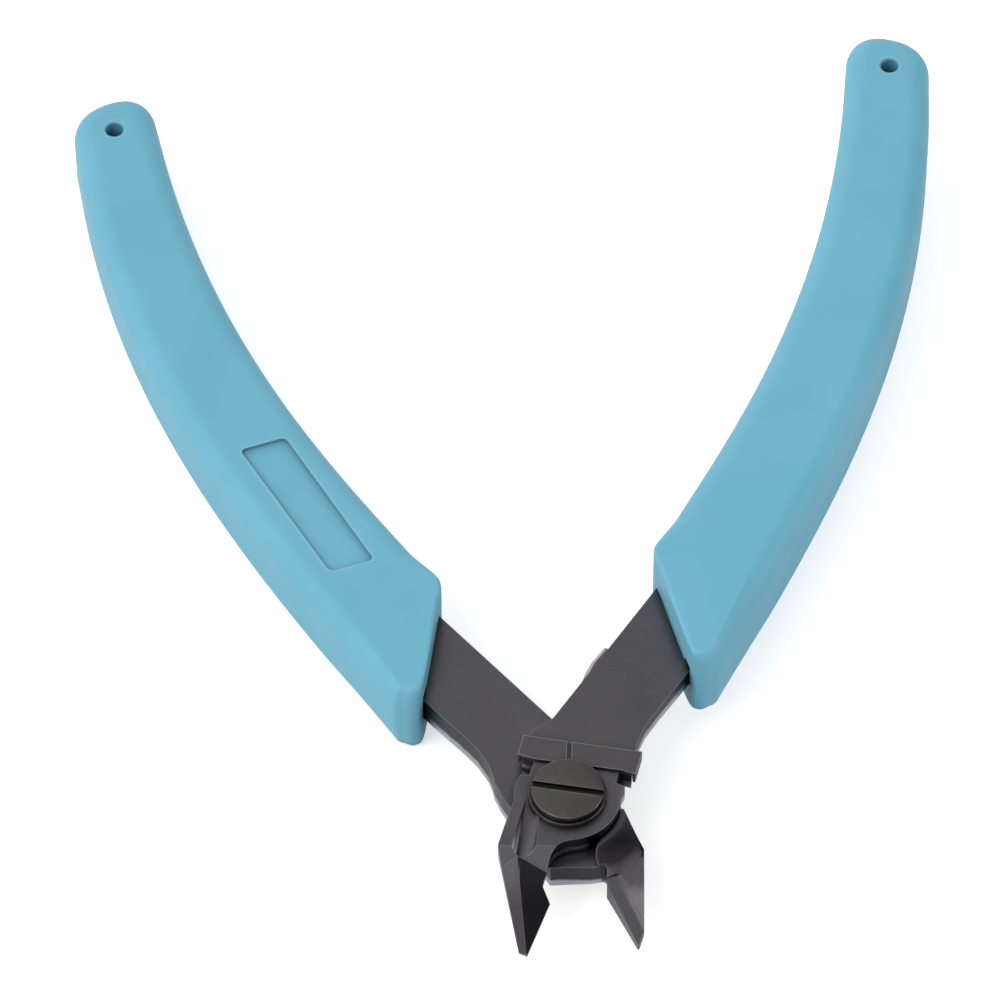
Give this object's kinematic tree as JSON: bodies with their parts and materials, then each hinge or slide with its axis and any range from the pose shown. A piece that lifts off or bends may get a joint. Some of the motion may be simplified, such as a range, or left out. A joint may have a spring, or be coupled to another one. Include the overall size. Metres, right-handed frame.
{
  "type": "lap joint shear cutters",
  "caption": "Small hand cutters: two lapped steel halves on a slotted pivot screw, with bowed soft grips, a return spring and a sheet clip.",
  "frame": {"origin": "middle of the pivot screw's back end face, on the pivot axis", "axes": "+Y runs from the pivot between the handles, -Y towards the jaws, +Z towards the slotted screw head, +X towards the right grip"},
  "size_m": [0.0966, 0.1173, 0.0138],
  "materials": {
    "dark_steel": "black oxide, satin",
    "screw_steel": "black oxide, turned",
    "plated_steel": "zinc plated",
    "clip_steel": "dark spring steel",
    "spring_wire": "drawn spring wire",
    "soft_grip": "smooth matte turquoise"
  },
  "bodies": {
    "lower": {"lower_half": "dark_steel", "pivot_screw": "screw_steel", "pivot_nut": "plated_steel", "back_washer": "plated_steel", "spring_washer": "screw_steel", "return_spring": "spring_wire", "left_grip": "soft_grip"},
    "upper": {"upper_half": "dark_steel", "retainer_clip": "clip_steel", "right_grip": "soft_grip"}
  },
  "joints": [
    {"name": "pivot", "type": "hinge", "parent": "lower", "child": "upper", "pos_m": [0, 0, 0.0059], "axis": [0, 0, 1], "range_deg": [0, 37], "stiffness_Nm_per_rad": 0.2, "deforming": ["return_spring"]}
  ]
}
